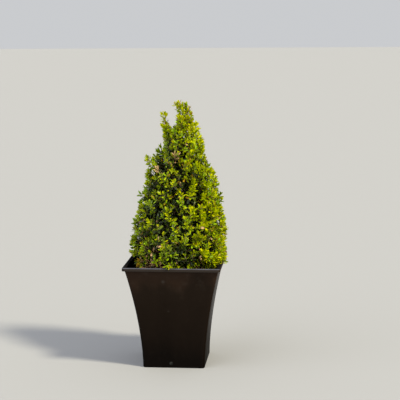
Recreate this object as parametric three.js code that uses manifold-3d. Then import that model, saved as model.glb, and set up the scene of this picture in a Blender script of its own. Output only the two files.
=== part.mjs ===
// A box plant clipped to a cone, growing in a flared square planter.
//
// Millimetres, +Z up. The origin is the centre of the planter's flat underside and the front
// face looks along -Y. The plant leans a little towards +X.
//
// The foliage follows one rule. Shoots stand on the clipped surface in a golden-angle spiral, at
// heights that give each shoot the same share of the surface. A shoot grows outwards and upwards
// and carries its leaves in opposite pairs, each pair a quarter turn from the pair before.

import * as THREE from "three";
import { mergeVertices } from "three/addons/utils/BufferGeometryUtils.js";
import Module from "manifold-3d";

const wasm = await Module();
wasm.setup();

// Driving dimensions
const PLANTER = {
  height: 270,
  rimWidth: 250,
  mouthWidth: 238,
  footWidth: 160,
  flarePower: 1.7,
  cornerRadius: 8,
  lipCornerRadius: 8,
  wall: 3,
  floor: 4,
  lipHeight: 8,
  lipThickness: 3,
  footBevel: 1.5,
  flareLevels: 7,
  cornerSteps: 3,
};
const DRAIN_HOLES = { radius: 6, spacing: 90, sides: 10 };
const DRAIN_BOSS = { radius: 4.5, proud: 1, x: -6, z: 12, sides: 12 };
const COMPOST = { top: 236, bump: 4, flatRadius: 26, rings: 6 };
const TRUNK = {
  topHeight: 264,
  topRadius: 7,
  taper: 1.5,
  footRadius: 15,
  flareHeight: 18,
  roots: 5,
  rootDepth: 0.16,
  sides: 15,
  levels: 6,
};
const CONE = { base: 258, apex: 690, widest: 127, skirtRound: 40, skirtTuck: 0.35 };
const LEAN = { offset: 4, perHeight: 0.042, startHeight: 270 };
const CORE = { base: 267, top: 600, inset: 25, lump: 6, sides: 15, levels: 11, topRadius: 20 };
const STEM = { radius: 6.5, reach: 330, sides: 10 };
const SHOOTS = {
  count: 98,
  top: 640,
  length: 46,
  lift: [-0.3, 0.6],
  liftOver: 90,
  tipInset: [15, 23],
  jitter: 0.2,
  leafSize: [0.85, 1.15],
};
const TWIG = { baseRadius: 2.2, tipRadius: 1.3 };
// A leaf tapers to a point at its root, which lies in the middle of its twig.
const LEAF = { root: 0.2, length: 28, width: 15, thickness: 1.4, crown: 1.6, widestAt: 0.54 };
const CLEARANCE = 0.3;
const LEAF_MARGIN = { compost: 4, trunk: 3, planter: 2, neighbour: 2 };

// How a shoot's pairs of leaves sit, from its tip backwards.
const LEAF_PAIRS = [
  { back: 1, spread: 30, size: 0.8 },
  { back: 9, spread: 60, size: 1 },
];

// Shoots that have outgrown the clipping. Each place is given by its distance along the plane
// through the plant's middle, its height, and its distance behind that plane.
const LEADER = {
  start: [20, 596, 0],
  forks: [
    { turn: [23, 628, -2], tip: [7, 667, -7], radius: 3 },
    { turn: [28, 626, 2], tip: [35, 662, 9], radius: 2.6 },
    { turn: [36, 612, -6], tip: [46, 634, -11], radius: 2.6 },
    { turn: [17, 614, -18], tip: [14, 636, -24], radius: 2.4 },
    { turn: [19, 612, 18], tip: [18, 632, 26], radius: 2.4 },
  ],
  space: 25,
};
const HIGH_SHOOT = {
  start: [17, 590, 0],
  forks: [{ turn: [-19, 613, -2], tip: [-28, 645, 1], radius: 2.6 }],
  space: 22,
};
const STRAYS = [
  { from: [-38, 500, 0], to: [-60, 528, 0] },
  { from: [-70, 300, 0], to: [-105, 294, 0] },
];
const SHOOT_PLANE_ANGLE = THREE.MathUtils.degToRad(6.8);
const LONG_SHOOT = { leafPitch: 9, bareFoot: 8, leafSize: 0.72, leafSpread: 54 };

const GOLDEN_ANGLE = Math.PI * (3 - Math.sqrt(5));
const UP = new THREE.Vector3(0, 0, 1);

// A repeatable source of numbers from 0 to 1.
function seeded(seed) {
  let state = seed >>> 0;
  return () => {
    state = (state + 0x6d2b79f5) >>> 0;
    let mixed = Math.imul(state ^ (state >>> 15), state | 1);
    mixed ^= mixed + Math.imul(mixed ^ (mixed >>> 7), mixed | 61);
    return ((mixed ^ (mixed >>> 14)) >>> 0) / 4294967296;
  };
}

// Solids

// A three.js geometry as a solid that can be cut and joined.
function solidOf(geometry) {
  const merged = welded(geometry);
  return new wasm.Manifold(
    new wasm.Mesh({
      numProp: 3,
      vertProperties: new Float32Array(merged.attributes.position.array),
      triVerts: new Uint32Array(merged.index.array),
    }),
  );
}

// A geometry with only places left, its shared corners merged.
function welded(geometry) {
  const bare = geometry.clone();
  bare.deleteAttribute("normal");
  bare.deleteAttribute("uv");
  return mergeVertices(bare, 1e-4);
}

// The largest body of a solid, without loose scraps or sealed hollows.
function oneBody(solid) {
  const bodies = solid.decompose();
  return bodies.reduce((largest, body) => (body.volume() > largest.volume() ? body : largest));
}

function geometryOf(solid) {
  const { vertProperties, triVerts } = solid.getMesh();
  const geometry = new THREE.BufferGeometry();
  geometry.setAttribute("position", new THREE.BufferAttribute(vertProperties, 3));
  geometry.setIndex(new THREE.BufferAttribute(triVerts, 1));
  geometry.computeVertexNormals();
  return geometry;
}

// A closed skin through rings of points, each ring with as many points as the next, and a flat
// fan over the first and the last.
function loft(rings) {
  const count = rings[0].length;
  const points = rings.flat();
  const faces = [];
  for (let ring = 0; ring + 1 < rings.length; ring++) {
    for (let i = 0; i < count; i++) {
      const next = (i + 1) % count;
      const [a, b] = [ring * count + i, ring * count + next];
      faces.push(a, b, b + count, a, b + count, a + count);
    }
  }
  const last = (rings.length - 1) * count;
  for (let i = 1; i + 1 < count; i++) {
    faces.push(0, i + 1, i);
    faces.push(last, last + i, last + i + 1);
  }
  return new THREE.BufferGeometry().setFromPoints(points).setIndex(faces);
}

// Planter

// Half the width of the planter's outside at a height, below its lip.
function planterHalfWidth(z) {
  const mouthHeight = PLANTER.height - PLANTER.lipHeight;
  const share = Math.min(z / mouthHeight, 1);
  const flare = (PLANTER.mouthWidth - PLANTER.footWidth) / 2;
  return PLANTER.footWidth / 2 + flare * share ** PLANTER.flarePower;
}

// A square ring with round corners, anticlockwise from above.
function squareRing(halfWidth, radius, z) {
  const ring = [];
  for (let corner = 0; corner < 4; corner++) {
    const start = (corner * Math.PI) / 2;
    const centre = new THREE.Vector2(halfWidth - radius, halfWidth - radius);
    centre.rotateAround(new THREE.Vector2(), start);
    for (let step = 0; step <= PLANTER.cornerSteps; step++) {
      const angle = start + (step / PLANTER.cornerSteps) * (Math.PI / 2);
      const x = centre.x + radius * Math.cos(angle);
      const y = centre.y + radius * Math.sin(angle);
      ring.push(new THREE.Vector3(x, y, z));
    }
  }
  return ring;
}

// The rings of the planter's outside or, moved in, of anything that fills it.
function flareRings(fromZ, toZ, inset) {
  const rings = [];
  for (let level = 0; level <= PLANTER.flareLevels; level++) {
    const z = THREE.MathUtils.lerp(fromZ, toZ, level / PLANTER.flareLevels);
    rings.push(squareRing(planterHalfWidth(z) - inset, PLANTER.cornerRadius - inset, z));
  }
  return rings;
}

function drainHoles() {
  const holes = [];
  for (let corner = 0; corner < 4; corner++) {
    const angle = Math.PI / 4 + (corner * Math.PI) / 2;
    const hole = new THREE.CylinderGeometry(
      DRAIN_HOLES.radius,
      DRAIN_HOLES.radius,
      4 * PLANTER.floor,
      DRAIN_HOLES.sides,
    );
    hole.rotateX(Math.PI / 2);
    const reach = DRAIN_HOLES.spacing / Math.SQRT2;
    hole.translate(reach * Math.cos(angle), reach * Math.sin(angle), 0);
    holes.push(solidOf(hole));
  }
  return wasm.Manifold.union(holes);
}

function drainBoss() {
  const sunk = PLANTER.wall / 2;
  const depth = DRAIN_BOSS.proud + sunk;
  const boss = new THREE.CylinderGeometry(
    DRAIN_BOSS.radius,
    DRAIN_BOSS.radius,
    depth,
    DRAIN_BOSS.sides,
  );
  const faceY = -planterHalfWidth(DRAIN_BOSS.z);
  boss.translate(DRAIN_BOSS.x, faceY - DRAIN_BOSS.proud + depth / 2, DRAIN_BOSS.z);
  return solidOf(boss);
}

// A moulded shell: up the outside, round the turned-down lip, and down the inside to the floor.
function planter() {
  const { height, wall, floor, lipHeight, lipThickness, cornerRadius, footBevel } = PLANTER;
  const rim = PLANTER.rimWidth / 2;
  const mouth = PLANTER.mouthWidth / 2;
  const lipRadius = PLANTER.lipCornerRadius;
  const footRing = planterHalfWidth(0) - footBevel;
  const shell = loft([
    squareRing(footRing, cornerRadius - footBevel, 0),
    ...flareRings(footBevel, height - lipHeight, 0),
    squareRing(mouth, cornerRadius, height - lipThickness),
    squareRing(rim - lipThickness, lipRadius - lipThickness, height - lipThickness),
    squareRing(rim - lipThickness, lipRadius - lipThickness, height - lipHeight),
    squareRing(rim, lipRadius, height - lipHeight),
    squareRing(rim, lipRadius, height - 1),
    squareRing(rim - 1, lipRadius - 1, height),
    squareRing(mouth - wall, cornerRadius - wall, height),
    ...flareRings(floor, height - lipHeight, wall).reverse(),
  ]);
  return geometryOf(solidOf(shell).add(drainBoss()).subtract(drainHoles()));
}

// Compost

// A block that fills the planter to below its rim. Its top is crumbled, and level at the trunk.
function compost() {
  const random = seeded(11);
  const inset = PLANTER.wall + CLEARANCE;
  const rings = flareRings(PLANTER.floor + CLEARANCE, COMPOST.top, inset);
  const edge = rings[rings.length - 1];
  for (let step = 1; step < COMPOST.rings; step++) {
    const share = 1 - step / COMPOST.rings;
    const ring = edge.map(({ x, y }) => {
      const place = new THREE.Vector3(x * share, y * share, COMPOST.top);
      const level = Math.hypot(place.x, place.y) < COMPOST.flatRadius;
      place.z -= level ? 0 : COMPOST.bump * random();
      return place;
    });
    rings.push(ring);
  }
  return geometryOf(solidOf(loft(rings)));
}

// Trunk

// Where the plant's middle stands at a height.
function axisAt(z) {
  const along = LEAN.offset + (z - LEAN.startHeight) * LEAN.perHeight;
  return placeOf([along, z, 0]);
}

// A place given along the shoot plane, in height, and behind the plane.
function placeOf([along, z, behind]) {
  const place = new THREE.Vector3(along, behind, z);
  return place.applyAxisAngle(UP, SHOOT_PLANE_ANGLE);
}

// A short stem with a lobed root flare, from a flat cut on the compost up into the foliage.
function trunk() {
  const footHeight = COMPOST.top + CLEARANCE;
  const length = TRUNK.topHeight - footHeight;
  const shape = new THREE.CylinderGeometry(1, 1, length, TRUNK.sides, TRUNK.levels);
  shape.rotateX(Math.PI / 2);
  shape.translate(0, 0, footHeight + length / 2);
  const place = shape.attributes.position;
  for (let i = 0; i < place.count; i++) {
    const z = place.getZ(i);
    const angle = Math.atan2(place.getY(i), place.getX(i));
    const low = Math.max(1 - (z - footHeight) / TRUNK.flareHeight, 0);
    const lobe = 1 + TRUNK.rootDepth * low * Math.cos(TRUNK.roots * angle);
    const flare = (TRUNK.footRadius - TRUNK.topRadius) * low * low;
    const taper = TRUNK.taper * (1 - (z - footHeight) / length);
    const radius = (TRUNK.topRadius + taper + flare) * lobe;
    const centre = axisAt(z);
    const scale = Math.min(Math.hypot(place.getX(i), place.getY(i)), 1);
    place.setX(i, centre.x + scale * radius * Math.cos(angle));
    place.setY(i, centre.y + scale * radius * Math.sin(angle));
  }
  return geometryOf(solidOf(shape));
}

// Clipped surface

// The clipped cone's radius at a height: a parabola, tucked in round the bottom of its skirt.
function coneRadius(z) {
  const rise = (z - CONE.base) / (CONE.apex - CONE.base);
  const low = Math.max(1 - (z - CONE.base) / CONE.skirtRound, 0);
  return CONE.widest * (1 - rise * rise) * Math.sqrt(1 - CONE.skirtTuck * low * low);
}

// Heights that share the clipped surface out evenly among a number of shoots.
function evenHeights(count, lowest, highest) {
  const steps = 200;
  const heightAt = (step) => THREE.MathUtils.lerp(lowest, highest, step / steps);
  const areaBelow = [0];
  for (let step = 1; step <= steps; step++) {
    const [low, high] = [heightAt(step - 1), heightAt(step)];
    const slant = Math.hypot(high - low, coneRadius(high) - coneRadius(low));
    areaBelow.push(areaBelow[step - 1] + coneRadius((low + high) / 2) * slant);
  }
  const heights = [];
  for (let shoot = 0; shoot < count; shoot++) {
    const wanted = ((shoot + 0.5) / count) * areaBelow[steps];
    heights.push(heightAt(areaBelow.findIndex((area) => area >= wanted)));
  }
  return heights;
}

// Foliage

// One leaf of eight faces, its root at the origin, growing along +Y, its upper side along +Z.
function leafGeometry(size) {
  const leaf = welded(new THREE.OctahedronGeometry(1));
  const place = leaf.attributes.position;
  const { root, length, width, thickness, crown, widestAt } = LEAF;
  for (let i = 0; i < place.count; i++) {
    const [x, y, z] = [place.getX(i), place.getY(i), place.getZ(i)];
    const middle = widestAt * length;
    const along = y < 0 ? root : y > 0 ? length : middle;
    const lift = z === 0 ? 0 : crown + (z * thickness) / 2;
    place.setXYZ(i, (x * width) / 2, along, lift);
  }
  return leaf.scale(size, size, size);
}

// A three-sided twig between two places.
function twigGeometry(from, to, fromRadius, toRadius) {
  const length = from.distanceTo(to);
  const twig = new THREE.CylinderGeometry(toRadius, fromRadius, length, 3);
  twig.translate(0, length / 2, 0);
  const direction = to.clone().sub(from).normalize();
  const turn = new THREE.Quaternion().setFromUnitVectors(new THREE.Vector3(0, 1, 0), direction);
  return twig.applyQuaternion(turn).translate(from.x, from.y, from.z);
}

// A pair of opposite leaves at a place on a twig. A leaf that leaves its own space is skipped.
function leafPair(place, direction, turn, spread, size, isOwnSpace) {
  const leaves = [];
  const sideways = new THREE.Vector3().crossVectors(direction, UP);
  if (sideways.lengthSq() < 1e-6) sideways.set(1, 0, 0);
  sideways.normalize().applyAxisAngle(direction, turn);
  for (const side of [1, -1]) {
    const out = sideways.clone().multiplyScalar(side);
    const along = direction
      .clone()
      .multiplyScalar(Math.cos(spread))
      .addScaledVector(out, Math.sin(spread));
    const across = new THREE.Vector3().crossVectors(out, direction);
    const upper = new THREE.Vector3().crossVectors(across, along);
    const basis = new THREE.Matrix4().makeBasis(across, along, upper).setPosition(place);
    const leaf = leafGeometry(size).applyMatrix4(basis);
    if (samplesOf(leaf).every(isOwnSpace)) leaves.push(solidOf(leaf));
  }
  return leaves;
}

// A small shape's corners and places along the lines between them.
function samplesOf(geometry) {
  const place = geometry.attributes.position;
  const corners = Array.from({ length: place.count }, (_, i) =>
    new THREE.Vector3().fromBufferAttribute(place, i),
  );
  return [0, 0.25, 0.5].flatMap((share) =>
    corners.flatMap((a) => corners.map((b) => a.clone().lerp(b, share))),
  );
}

// A shoot's twig and the leaf pairs at its tip.
function shoot(from, to, turn, size, isOwnSpace) {
  const twig = twigGeometry(from, to, TWIG.baseRadius, TWIG.tipRadius);
  if (!samplesOf(twig).every(isOwnSpace)) return [];
  const direction = to.clone().sub(from).normalize();
  const pieces = [solidOf(twig)];
  LEAF_PAIRS.forEach((pair, index) => {
    const place = to.clone().addScaledVector(direction, -pair.back);
    const quarter = turn + (index * Math.PI) / 2;
    const spread = THREE.MathUtils.degToRad(pair.spread);
    pieces.push(...leafPair(place, direction, quarter, spread, pair.size * size, isOwnSpace));
  });
  return pieces;
}

// A long shoot along a curve, with a pair of leaves at every pitch from its foot to its tip.
function longShoot(curve, fromRadius, isOwnSpace) {
  const { leafPitch, bareFoot, leafSize, leafSpread } = LONG_SHOOT;
  const length = curve.getLength();
  const pairs = Math.floor((length - bareFoot) / leafPitch);
  const steps = Math.ceil(length / (2 * leafPitch));
  const pieces = [];
  for (let step = 0; step < steps; step++) {
    const [low, high] = [step / steps, (step + 1) / steps];
    const [from, to] = [curve.getPointAt(low), curve.getPointAt(high)];
    const radii = [low, high].map((u) => THREE.MathUtils.lerp(fromRadius, TWIG.tipRadius, u));
    const overlap = to.clone().sub(from).setLength(step ? 1 : 0);
    pieces.push(solidOf(twigGeometry(from.sub(overlap), to, ...radii)));
  }
  for (let pair = 0; pair <= pairs; pair++) {
    const u = 1 - (pair * leafPitch + 1) / length;
    const [place, direction] = [curve.getPointAt(u), curve.getTangentAt(u)];
    const spread = THREE.MathUtils.degToRad(pair ? leafSpread : leafSpread / 2);
    const size = pair ? leafSize : 0.8 * leafSize;
    pieces.push(...leafPair(place, direction, (pair * Math.PI) / 2, spread, size, isOwnSpace));
  }
  return pieces;
}

// Spaces

// The curves that a group of long shoots follows.
function curvesOf({ start, forks }) {
  return forks.map(
    ({ turn, tip }) => new THREE.CatmullRomCurve3([start, turn, tip].map(placeOf)),
  );
}

// How far a point lies from the nearest shoot of a group.
function distanceTo(group) {
  const places = curvesOf(group).flatMap((curve) => curve.getSpacedPoints(16));
  return (point) => Math.min(...places.map((place) => place.distanceTo(point)));
}

const toLeader = distanceTo(LEADER);
const toHighShoot = distanceTo(HIGH_SHOOT);

// Clear of the compost, the trunk and the planter's walls and rim.
function isClearOfLimbs(point) {
  if (point.z < COMPOST.top + LEAF_MARGIN.compost) return false;
  const fromAxis = Math.hypot(point.x - axisAt(point.z).x, point.y - axisAt(point.z).y);
  const besideTrunk = point.z < TRUNK.topHeight + LEAF_MARGIN.trunk;
  if (besideTrunk && fromAxis < TRUNK.footRadius + LEAF_MARGIN.trunk) return false;
  const reach = Math.max(Math.abs(point.x), Math.abs(point.y));
  const inside = planterHalfWidth(point.z) - PLANTER.wall - LEAF_MARGIN.planter;
  return point.z > PLANTER.height + LEAF_MARGIN.planter || reach < inside;
}

const isConeSpace = (point) =>
  isClearOfLimbs(point) && toLeader(point) > LEADER.space && toHighShoot(point) > HIGH_SHOOT.space;

const isLeaderSpace = (point) =>
  point.z > CORE.top + 1 &&
  toLeader(point) < LEADER.space - 1 &&
  toHighShoot(point) > toLeader(point) + LEAF_MARGIN.neighbour;

const isHighShootSpace = (point) =>
  point.z > CORE.top + 1 &&
  toHighShoot(point) < HIGH_SHOOT.space - 1 &&
  toLeader(point) > toHighShoot(point) + LEAF_MARGIN.neighbour;

// Masses

// The dense middle that the shoots stand out of, with the stem that carries it.
function core() {
  const random = seeded(5);
  const profile = [new THREE.Vector2(0, CORE.base)];
  for (let level = 0; level <= CORE.levels; level++) {
    const z = THREE.MathUtils.lerp(CORE.base, CORE.top, level / CORE.levels);
    profile.push(new THREE.Vector2(Math.max(coneRadius(z) - CORE.inset, CORE.topRadius), z));
  }
  profile.push(new THREE.Vector2(0, CORE.top));
  const body = welded(new THREE.LatheGeometry(profile, CORE.sides).rotateX(Math.PI / 2));
  const place = body.attributes.position;
  for (let i = 0; i < place.count; i++) {
    const z = place.getZ(i);
    const radius = Math.hypot(place.getX(i), place.getY(i));
    const lump = z < CORE.top ? CORE.lump * (2 * random() - 1) : 0;
    const swell = radius ? 1 + lump / radius : 1;
    const centre = axisAt(z);
    place.setX(i, centre.x + place.getX(i) * swell);
    place.setY(i, centre.y + place.getY(i) * swell);
  }
  const foot = axisAt(TRUNK.topHeight + CLEARANCE);
  const { radius, reach, sides } = STEM;
  const stem = new THREE.CylinderGeometry(radius, radius, reach - foot.z, sides);
  stem.rotateX(Math.PI / 2).translate(foot.x, foot.y, (foot.z + reach) / 2);
  return solidOf(body).add(solidOf(stem));
}

// The shoots of the clipped surface, by the rule at the top.
function coneShoots() {
  const random = seeded(36);
  const heights = evenHeights(SHOOTS.count, CONE.base, SHOOTS.top);
  return heights.flatMap((z, index) => {
    const azimuth = index * GOLDEN_ANGLE;
    const out = new THREE.Vector3(Math.cos(azimuth), Math.sin(azimuth), 0);
    const jitter = () => SHOOTS.jitter * (2 * random() - 1);
    const rise = THREE.MathUtils.smoothstep(z, CONE.base, CONE.base + SHOOTS.liftOver);
    const lift = THREE.MathUtils.lerp(...SHOOTS.lift, rise);
    const direction = new THREE.Vector3(out.x + jitter(), out.y + jitter(), lift + jitter());
    direction.normalize();
    const inset = THREE.MathUtils.lerp(...SHOOTS.tipInset, random());
    const tip = axisAt(z).addScaledVector(out, coneRadius(z) - inset);
    const from = tip.clone().addScaledVector(direction, -SHOOTS.length);
    const size = THREE.MathUtils.lerp(...SHOOTS.leafSize, random());
    return shoot(from, tip, Math.PI * random(), size, isConeSpace);
  });
}

function strayShoots() {
  return STRAYS.flatMap(({ from, to }, index) =>
    shoot(placeOf(from), placeOf(to), index, 1, isConeSpace),
  );
}

function coneFoliage() {
  const pieces = [core(), ...coneShoots(), ...strayShoots()];
  return geometryOf(oneBody(wasm.Manifold.union(pieces)));
}

// A group of long shoots, cut flat where it stands on the top of the core.
function standingShoots(group, isOwnSpace) {
  const pieces = curvesOf(group).flatMap((curve, index) =>
    longShoot(curve, group.forks[index].radius, isOwnSpace),
  );
  const joined = wasm.Manifold.union(pieces);
  return geometryOf(oneBody(joined.trimByPlane([0, 0, 1], CORE.top + CLEARANCE)));
}

// Scene

const gloss = { color: 0x1c1815, roughness: 0.28, metalness: 0 };
const peat = { color: 0x2e2118, roughness: 1, metalness: 0 };
const bark = { color: 0x7a6a52, roughness: 0.9, metalness: 0 };
const leafGreen = { color: 0x6f8f1f, roughness: 0.5, metalness: 0 };

function named(name, geometry, finish) {
  const mesh = new THREE.Mesh(geometry, new THREE.MeshStandardMaterial(finish));
  mesh.name = name;
  return mesh;
}

const topiary = new THREE.Group();
topiary.add(
  named("planter", planter(), gloss),
  named("compost", compost(), peat),
  named("trunk", trunk(), bark),
  named("foliage_cone", coneFoliage(), leafGreen),
  named("foliage_leader", standingShoots(LEADER, isLeaderSpace), leafGreen),
  named("foliage_high_shoot", standingShoots(HIGH_SHOOT, isHighShootSpace), leafGreen),
);

export default topiary;
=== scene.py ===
"""The looks of a box plant clipped to a cone, growing in a flared square planter.

The shapes are worked out in millimetres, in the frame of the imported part, and become metres when
their meshes are made. The plant grows by the rule of the part's source, carried to finer twigs:
main shoots stand on the clipped surface in a golden-angle spiral, sprigs branch from the nearest
main shoot, and every sprig carries small leaves in opposite pairs.
"""

import math
from types import SimpleNamespace as Values

import bmesh
import bpy
import numpy as np
from mathutils import Matrix, Vector, noise


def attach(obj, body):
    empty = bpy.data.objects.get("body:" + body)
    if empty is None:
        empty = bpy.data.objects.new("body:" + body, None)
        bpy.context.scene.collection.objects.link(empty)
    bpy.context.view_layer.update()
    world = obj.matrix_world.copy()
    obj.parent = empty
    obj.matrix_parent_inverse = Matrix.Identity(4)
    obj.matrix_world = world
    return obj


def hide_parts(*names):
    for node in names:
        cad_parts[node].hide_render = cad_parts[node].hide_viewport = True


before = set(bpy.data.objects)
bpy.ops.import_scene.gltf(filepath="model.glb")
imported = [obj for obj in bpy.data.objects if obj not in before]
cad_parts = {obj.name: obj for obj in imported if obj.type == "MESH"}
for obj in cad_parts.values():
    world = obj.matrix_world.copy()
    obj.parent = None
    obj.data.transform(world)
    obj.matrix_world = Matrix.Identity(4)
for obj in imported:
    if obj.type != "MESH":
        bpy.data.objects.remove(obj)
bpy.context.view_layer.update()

MM = 0.001


def named(names, *rows):
    """Rows of values that share their names."""
    return [Values(**dict(zip(names.split(), row))) for row in rows]


# Driving dimensions, in millimetres, as in the part's source
PLANTER = Values(
    height=270, rim=250, mouth=238, foot=160, flare_power=1.7, corner=8, lip_corner=8,
    wall=3, floor=4, lip_height=8, lip_thickness=3, foot_bevel=1.5,
)
DRAIN_HOLES = Values(radius=6, spacing=90, sides=24)
DRAIN_BOSS = Values(radius=4.5, proud=1, x=-6, z=12)
COMPOST = Values(top=236, bump=4, flat_radius=26)
TRUNK = Values(top=264, radius=7, taper=1.5, foot_radius=15, flare_height=18, roots=5, depth=0.16)
CONE = Values(base=258, apex=690, widest=127, skirt_round=40, skirt_tuck=0.35)
LEAN = Values(offset=4, per_height=0.042, start=270)
CORE_TOP = 600
SHOOTS = Values(count=98, top=640, length=46, lift=(-0.3, 0.6), lift_over=90, inset=(15, 23), jitter=0.2)
SHOOT_PLANE_ANGLE = math.radians(6.8)
CLEARANCE = 0.3

# Finer edges of the planter: the lip's wall, rounding and bead, and how far in the underside starts
EDGES = Values(lip_wall=2.2, lip_round=2.0, bead=0.6, underside=8)

# Scuffs on the planter: centre and reach in metres, as its material takes them
SCUFFS = [
    ((-0.021, -0.112, 0.234), 0.006),
    ((-0.010, -0.098, 0.153), 0.004),
    ((0.098, 0.03, 0.14), 0.006),
]

# Unclipped shoots, near those of the source. Their places are given along the shoot plane, in height
# and behind the plane. Each group has its own seed, so a change in one leaves the rest as it is.
LEADER = Values(start=(20, 596, 0), space=25, side_sprigs=17, seed=203)
LEADER.forks = named(
    "turn tip radius",
    ((24, 634, -2), (8, 677, -7), 2.2),
    ((35, 638, 2), (29, 674, 7), 1.9),
    ((33, 612, -6), (37, 641, -9), 1.9),
    ((17, 614, -18), (14, 642, -24), 1.7),
    ((19, 612, 18), (18, 638, 26), 1.7),
)
HIGH_SHOOT = Values(start=(17, 590, 0), space=22, side_sprigs=7, seed=202)
HIGH_SHOOT.forks = named(
    "turn tip radius",
    ((-19, 613, -2), (-27, 652, 1), 1.9),
    ((-15, 604, 4), (-23, 627, 10), 1.5),
    ((-14, 602, -6), (-22, 619, -9), 1.5),
)
# Sprigs of the cone keep out of this share of a group's space.
SPACE_SHARE = 0.6

# Single shoots that stand out of the clipped surface, and the sprigs near their tips
STRAYS = named(
    "start tip sag sides",
    ((-38, 500, 0), (-72, 540, -4), 5, 4),
    ((-70, 300, 0), (-116, 292, -6), 5, 4),
    ((-9, 274, -95), (-19, 275, -124), -6, 1),
    ((2, 582, 0), (-23, 608, -4), 4, 3),
    ((4, 572, 4), (-27, 594, 3), 4, 3),
    ((4, 572, -6), (-9, 609, -24), 3, 3),
)
STRAY = Values(radius=1.4, pairs=7, size=0.95, sunny=0.9)
STRAY_SPRIG = Values(
    back=(9, 6), reach=13, ahead=0.9, bow=6, radius=0.9, pairs=4, size=0.85, sunny=0.5,
)

GOLDEN_ANGLE = math.pi * (3 - math.sqrt(5))
SEEDS = Values(main_shoots=36, cone=127, low_growth=212, dark_chips=61, pale_chips=62)
UP = Vector((0, 0, 1))

# Leaves at life size. The pairs of a sprig are given from its tip backwards, by place, spread in
# degrees and size, and any further pairs follow at the step.
LEAF = Values(
    length=13.2, width=0.36, thickness=0.35, fold=(-0.5, 0.7), curl=(-0.05, 0.22),
    width_spread=(0.9, 1.12), size_spread=(0.86, 1.14), loose_along=0.2, loose_across=0.32,
)
PAIRS = Values(
    back=[0.4, 3.0, 6.8, 11.6, 17.2, 23.6, 31.0], step=8, spread=[10, 24, 36, 47, 56, 64, 68],
    size=[0.56, 0.86, 1.03, 1.06, 1.02, 0.96, 0.9], loose_spread=8, loose_turn=0.35, offset=0.2,
)
# Twigs taper to this radius, and from a larger one they have four sides and not three.
TWIG = Values(end_radius=0.45, round_from=1.2)
# How far leaves stay off the compost, the planter's walls and top, and the side of its rim
LEAF_GAPS = Values(near=1, past_rim=2)

# The leafy end of each main shoot, past its tip in the source
MAIN_SPRIG = Values(past=(9, 17), rise=(0, 5), middle=0.6, sag=8, radius=1.5, pairs=7, size=(0.9, 1.1))

# Sprigs that fill the spaces between the main shoots, from the outermost layer inwards
LAYERS = named(
    "name count inset hollow pairs back",
    ("outer", 820, (-3, 4), 13, 6, (8, 30)),
    ("middle", 480, (15, 27), 7, 5, (24, 44)),
    ("inner", 700, (28, 46), 0, 6, (36, 46)),
    ("inner", 420, (46, 74), 0, 6, (40, 46)),
)
LAYER_SPRIG = Values(
    turn=1.3, loose_turn=0.25, below=4, rise=(-4, 4), middle=0.62, sag=0.42, loose=3,
    radius=1.0, size=(0.82, 1.16), inner_size=1.15, off_axis=4,
)

# How far each main shoot's clump reaches, and how the surface sinks between clumps
CLUMPS = Values(radius=19, past_tip=18, most=1.3)
THIN_FRONT = Values(below=288, azimuth=-141, spread=44, share=0.85, main_share=0.5)

# The unclipped shoots, and the short sprigs all along them
GROUP_SHOOT = Values(above=570, pairs=9, sunny=1.2)
GROUP_SPRIG = Values(
    back=(6, 4), crowding=1.2, reach=(9, 19), reach_spread=(0.8, 1.1), radius=0.9,
    pairs=4, size=(0.76, 0.98), sunny=(1.3, 0.7), loose=0.6, aside=(0.3, 1, 0.1),
    first_reach=0.25, out=0.6, bow=0.45,
)

# Thin, shaded places of the surface: azimuth in degrees, height, reach and how far they sink
THIN_PLACES = named(
    "azimuth z reach depth",
    (-88, 590, 12, 7), (-69, 598, 12, 8), (4, 536, 46, 17), (8, 598, 20, 7), (5, 454, 22, 10),
    (1, 292, 26, 7), (-158, 566, 30, 20), (-102, 540, 17, 13), (-79, 516, 17, 12),
    (-82, 486, 16, 13), (-49, 478, 12, 9), (-47, 508, 13, 8), (-127, 509, 12, 9),
    (-110, 466, 14, 10), (-87, 431, 15, 12), (-107, 410, 14, 10), (-116, 392, 14, 12),
    (-45, 412, 12, 6), (-100, 368, 18, 13), (-79, 318, 14, 10), (-79, 284, 23, 19),
    (-62, 288, 22, 18), (-44, 272, 24, 16), (-151, 280, 24, 16), (-166, 270, 24, 16),
    (-174, 430, 22, 11), (20, 430, 18, 12), (66, 520, 15, 10), (92, 372, 20, 12),
    (118, 462, 16, 11), (152, 318, 22, 13), (48, 300, 20, 12), (-10, 340, 14, 8),
)
# From how thin, and up to which height, such a place is dark
DARK = Values(thin=0.35, below=545)

# Fuller, brighter clumps on the surface: azimuth in degrees, height and reach
FULL_PLACES = named(
    "azimuth z reach",
    (-126, 438, 17), (-123, 486, 14), (-143, 400, 18), (-72, 450, 13), (-72, 413, 14),
    (-80, 391, 13), (-77, 357, 14), (-56, 376, 14), (-100, 330, 20), (-138, 340, 18),
    (-105, 512, 14), (-111, 376, 12), (-110, 602, 16), (-42, 586, 24),
)
# Full places stand proud, and their light is added to the sun in their tones: painted light
FULL_GROWTH = Values(proud=4, light=0.45)

# Sprigs that hang out over the rim on the sunny side
SKIRT = Values(
    count=60, azimuths=(-48, 32), heights=(264, 296), level=284, inset=(-3, 8),
    size=(0.85, 1.15), sunny=1.0, middle=0.6, sag=3, radius=1.0, pairs=6,
)

# Shares that change with height: those of leaves that have withered or turned bronze, of old brown
# leaves among those inside, of withered sprigs low down and low on the front, and of the painted sunlight
# on top
WITHERED, BRONZED, OLD_INSIDE, LOW_DEAD, FRONT_DEAD, SUN_TOP = named(
    "low high start end",
    (0.035, 0.006, 285, 370),
    (0.03, 0.08, 600, 650),
    (0.6, 0.12, 285, 340),
    (0.07, 0.004, 262, 290),
    (0.18, 0.004, 262, 290),
    (0, 0.45, 470, 600),
)
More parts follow.
